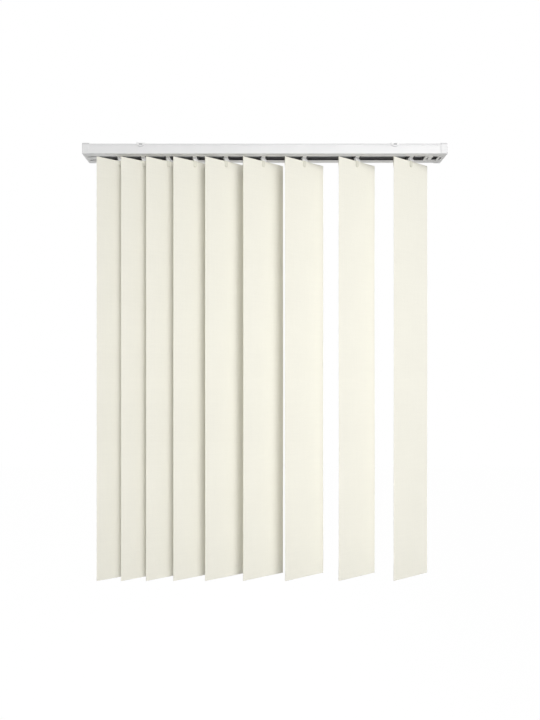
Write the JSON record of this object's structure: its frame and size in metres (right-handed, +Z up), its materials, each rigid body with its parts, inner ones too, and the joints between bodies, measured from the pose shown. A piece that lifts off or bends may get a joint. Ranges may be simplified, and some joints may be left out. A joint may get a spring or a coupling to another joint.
{
  "type": "vertical blind",
  "caption": "Ceiling-fixed vertical blind: a slotted headrail in which carriers slide, each turning a hanging cloth slat by a worm on a common tilt rod.",
  "frame": {"origin": "midway between the two bracket screws, in the plane of the ceiling", "axes": "+X along the headrail to the control end, on the right as seen from the room; +Y towards the window; +Z up"},
  "size_m": [1.034, 0.0548, 1.2393],
  "materials": {
    "rail_coat": "white powder coat on extruded aluminium, satin",
    "bracket_steel": "white coated spring steel",
    "cap_plastic": "white moulded plastic, fine matt",
    "carrier_plastic": "black acetal, fine matt",
    "gear_plastic": "dark grey acetal, smooth",
    "hook_plastic": "milky white moulded plastic",
    "hanger_plastic": "white plastic sheet",
    "spacer_plastic": "thin grey plastic strip",
    "rod_metal": "drawn, plain",
    "slat_fabric": "cream plain weave, stiffened"
  },
  "bodies": {
    "root": {"headrail": "rail_coat", "brackets": "bracket_steel", "end_cap_left": "cap_plastic", "end_cap_right": "cap_plastic"},
    "rod": {"tilt_rod": "rod_metal"},
    "chain_wheel": {"chain_wheel": "gear_plastic"},
    "idler": {"idler_pulley": "gear_plastic"},
    "carrier_9": {"carrier_9": "carrier_plastic"},
    "slat_9": {"stem_9": "hook_plastic", "hanger_9": "hanger_plastic", "slat_9": "slat_fabric"},
    "worm_9": {"worm_9": "gear_plastic"},
    "carrier_8": {"carrier_8": "carrier_plastic", "spacer_8": "spacer_plastic"},
    "slat_8": {"stem_8": "hook_plastic", "hanger_8": "hanger_plastic", "slat_8": "slat_fabric"},
    "worm_8": {"worm_8": "gear_plastic"},
    "carrier_7": {"carrier_7": "carrier_plastic", "spacer_7": "spacer_plastic"},
    "slat_7": {"stem_7": "hook_plastic", "hanger_7": "hanger_plastic", "slat_7": "slat_fabric"},
    "worm_7": {"worm_7": "gear_plastic"},
    "carrier_6": {"carrier_6": "carrier_plastic", "spacer_6": "spacer_plastic"},
    "slat_6": {"stem_6": "hook_plastic", "hanger_6": "hanger_plastic", "slat_6": "slat_fabric"},
    "worm_6": {"worm_6": "gear_plastic"},
    "carrier_5": {"carrier_5": "carrier_plastic", "spacer_5": "spacer_plastic"},
    "slat_5": {"stem_5": "hook_plastic", "hanger_5": "hanger_plastic", "slat_5": "slat_fabric"},
    "worm_5": {"worm_5": "gear_plastic"},
    "carrier_4": {"carrier_4": "carrier_plastic", "spacer_4": "spacer_plastic"},
    "slat_4": {"stem_4": "hook_plastic", "hanger_4": "hanger_plastic", "slat_4": "slat_fabric"},
    "worm_4": {"worm_4": "gear_plastic"},
    "carrier_3": {"carrier_3": "carrier_plastic", "spacer_3": "spacer_plastic"},
    "slat_3": {"stem_3": "hook_plastic", "hanger_3": "hanger_plastic", "slat_3": "slat_fabric"},
    "worm_3": {"worm_3": "gear_plastic"},
    "carrier_2": {"carrier_2": "carrier_plastic", "spacer_2": "spacer_plastic"},
    "slat_2": {"stem_2": "hook_plastic", "hanger_2": "hanger_plastic", "slat_2": "slat_fabric"},
    "worm_2": {"worm_2": "gear_plastic"},
    "carrier_1": {"carrier_1": "carrier_plastic", "spacer_1": "spacer_plastic"},
    "slat_1": {"stem_1": "hook_plastic", "hanger_1": "hanger_plastic", "slat_1": "slat_fabric"},
    "worm_1": {"worm_1": "gear_plastic"}
  },
  "joints": [
    {"name": "carrier_9_slide", "type": "slide", "parent": "root", "child": "carrier_9", "axis": [1, 0, 0], "range_m": [-0.6755, 0]},
    {"name": "slat_9_turn", "type": "hinge", "parent": "carrier_9", "child": "slat_9", "pos_m": [0.413, 0, -0.02045], "axis": [0, 0, 1], "range_deg": [-13.5, 144.5]},
    {"name": "worm_9_spin", "type": "hinge", "parent": "carrier_9", "child": "worm_9", "pos_m": [0.413, 0.00937, -0.02045], "axis": [1, 0, 0], "range_deg": [-162.01, 1734.01]},
    {"name": "carrier_8_slide", "type": "slide", "parent": "root", "child": "carrier_8", "axis": [1, 0, 0], "range_m": [-0.54629, 0]},
    {"name": "slat_8_turn", "type": "hinge", "parent": "carrier_8", "child": "slat_8", "pos_m": [0.25778, 0, -0.02045], "axis": [0, 0, 1], "range_deg": [-13.5, 144.5]},
    {"name": "worm_8_spin", "type": "hinge", "parent": "carrier_8", "child": "worm_8", "pos_m": [0.25778, 0.00937, -0.02045], "axis": [1, 0, 0], "range_deg": [-162.01, 1734.01]},
    {"name": "carrier_7_slide", "type": "slide", "parent": "root", "child": "carrier_7", "axis": [1, 0, 0], "range_m": [-0.42044, 0]},
    {"name": "slat_7_turn", "type": "hinge", "parent": "carrier_7", "child": "slat_7", "pos_m": [0.10593, 0, -0.02045], "axis": [0, 0, 1], "range_deg": [-13.5, 144.5]},
    {"name": "worm_7_spin", "type": "hinge", "parent": "carrier_7", "child": "worm_7", "pos_m": [0.10593, 0.00937, -0.02045], "axis": [1, 0, 0], "range_deg": [-162.01, 1734.01]},
    {"name": "carrier_6_slide", "type": "slide", "parent": "root", "child": "carrier_6", "axis": [1, 0, 0], "range_m": [-0.32814, 0]},
    {"name": "slat_6_turn", "type": "hinge", "parent": "carrier_6", "child": "slat_6", "pos_m": [-0.01237, 0, -0.02045], "axis": [0, 0, 1], "range_deg": [-13.5, 144.5]},
    {"name": "worm_6_spin", "type": "hinge", "parent": "carrier_6", "child": "worm_6", "pos_m": [-0.01237, 0.00937, -0.02045], "axis": [1, 0, 0], "range_deg": [-162.01, 1734.01]},
    {"name": "carrier_5_slide", "type": "slide", "parent": "root", "child": "carrier_5", "axis": [1, 0, 0], "range_m": [-0.24674, 0]},
    {"name": "slat_5_turn", "type": "hinge", "parent": "carrier_5", "child": "slat_5", "pos_m": [-0.11976, 0, -0.02045], "axis": [0, 0, 1], "range_deg": [-13.5, 144.5]},
    {"name": "worm_5_spin", "type": "hinge", "parent": "carrier_5", "child": "worm_5", "pos_m": [-0.11976, 0.00937, -0.02045], "axis": [1, 0, 0], "range_deg": [-162.01, 1734.01]},
    {"name": "carrier_4_slide", "type": "slide", "parent": "root", "child": "carrier_4", "axis": [1, 0, 0], "range_m": [-0.18297, 0]},
    {"name": "slat_4_turn", "type": "hinge", "parent": "carrier_4", "child": "slat_4", "pos_m": [-0.20954, 0, -0.02045], "axis": [0, 0, 1], "range_deg": [-13.5, 144.5]},
    {"name": "worm_4_spin", "type": "hinge", "parent": "carrier_4", "child": "worm_4", "pos_m": [-0.20954, 0.00937, -0.02045], "axis": [1, 0, 0], "range_deg": [-162.01, 1734.01]},
    {"name": "carrier_3_slide", "type": "slide", "parent": "root", "child": "carrier_3", "axis": [1, 0, 0], "range_m": [-0.13178, 0]},
    {"name": "slat_3_turn", "type": "hinge", "parent": "carrier_3", "child": "slat_3", "pos_m": [-0.28673, 0, -0.02045], "axis": [0, 0, 1], "range_deg": [-13.5, 144.5]},
    {"name": "worm_3_spin", "type": "hinge", "parent": "carrier_3", "child": "worm_3", "pos_m": [-0.28673, 0.00937, -0.02045], "axis": [1, 0, 0], "range_deg": [-162.01, 1734.01]},
    {"name": "carrier_2_slide", "type": "slide", "parent": "root", "child": "carrier_2", "axis": [1, 0, 0], "range_m": [-0.08731, 0]},
    {"name": "slat_2_turn", "type": "hinge", "parent": "carrier_2", "child": "slat_2", "pos_m": [-0.3572, 0, -0.02045], "axis": [0, 0, 1], "range_deg": [-13.5, 144.5]},
    {"name": "worm_2_spin", "type": "hinge", "parent": "carrier_2", "child": "worm_2", "pos_m": [-0.3572, 0.00937, -0.02045], "axis": [1, 0, 0], "range_deg": [-162.01, 1734.01]},
    {"name": "carrier_1_slide", "type": "slide", "parent": "root", "child": "carrier_1", "axis": [1, 0, 0], "range_m": [-0.04451, 0]},
    {"name": "slat_1_turn", "type": "hinge", "parent": "carrier_1", "child": "slat_1", "pos_m": [-0.426, 0, -0.02045], "axis": [0, 0, 1], "range_deg": [-13.5, 144.5]},
    {"name": "worm_1_spin", "type": "hinge", "parent": "carrier_1", "child": "worm_1", "pos_m": [-0.426, 0.00937, -0.02045], "axis": [1, 0, 0], "range_deg": [-162.01, 1734.01]},
    {"name": "rod_spin", "type": "hinge", "parent": "root", "child": "rod", "pos_m": [0, 0.00937, -0.02045], "axis": [1, 0, 0], "range_deg": [-162.01, 1734.01]},
    {"name": "chain_wheel_spin", "type": "hinge", "parent": "root", "child": "chain_wheel", "pos_m": [0.4815, 0, -0.02045], "axis": [1, 0, 0], "range_deg": [-1734.01, 162.01]},
    {"name": "idler_spin", "type": "hinge", "parent": "root", "child": "idler", "pos_m": [-0.5055, -0.0124, -0.02045], "axis": [0, 1, 0], "range_deg": [0, 8601.73]}
  ],
  "couplings": [
    {"joint": "worm_9_spin", "follows": "slat_9_turn", "ratio": 12},
    {"joint": "carrier_8_slide", "follows": "carrier_9_slide", "ratio": 0.80871},
    {"joint": "slat_8_turn", "follows": "slat_9_turn", "ratio": 1},
    {"joint": "worm_8_spin", "follows": "slat_9_turn", "ratio": 12},
    {"joint": "carrier_7_slide", "follows": "carrier_9_slide", "ratio": 0.62239},
    {"joint": "slat_7_turn", "follows": "slat_9_turn", "ratio": 1},
    {"joint": "worm_7_spin", "follows": "slat_9_turn", "ratio": 12},
    {"joint": "carrier_6_slide", "follows": "carrier_9_slide", "ratio": 0.48575},
    {"joint": "slat_6_turn", "follows": "slat_9_turn", "ratio": 1},
    {"joint": "worm_6_spin", "follows": "slat_9_turn", "ratio": 12},
    {"joint": "carrier_5_slide", "follows": "carrier_9_slide", "ratio": 0.36526},
    {"joint": "slat_5_turn", "follows": "slat_9_turn", "ratio": 1},
    {"joint": "worm_5_spin", "follows": "slat_9_turn", "ratio": 12},
    {"joint": "carrier_4_slide", "follows": "carrier_9_slide", "ratio": 0.27085},
    {"joint": "slat_4_turn", "follows": "slat_9_turn", "ratio": 1},
    {"joint": "worm_4_spin", "follows": "slat_9_turn", "ratio": 12},
    {"joint": "carrier_3_slide", "follows": "carrier_9_slide", "ratio": 0.19508},
    {"joint": "slat_3_turn", "follows": "slat_9_turn", "ratio": 1},
    {"joint": "worm_3_spin", "follows": "slat_9_turn", "ratio": 12},
    {"joint": "carrier_2_slide", "follows": "carrier_9_slide", "ratio": 0.12923},
    {"joint": "slat_2_turn", "follows": "slat_9_turn", "ratio": 1},
    {"joint": "worm_2_spin", "follows": "slat_9_turn", "ratio": 12},
    {"joint": "carrier_1_slide", "follows": "carrier_9_slide", "ratio": 0.065877},
    {"joint": "slat_1_turn", "follows": "slat_9_turn", "ratio": 1},
    {"joint": "worm_1_spin", "follows": "slat_9_turn", "ratio": 12},
    {"joint": "rod_spin", "follows": "slat_9_turn", "ratio": 12},
    {"joint": "chain_wheel_spin", "follows": "slat_9_turn", "ratio": -12},
    {"joint": "idler_spin", "follows": "carrier_9_slide", "rad_per_m": -222.22}
  ]
}
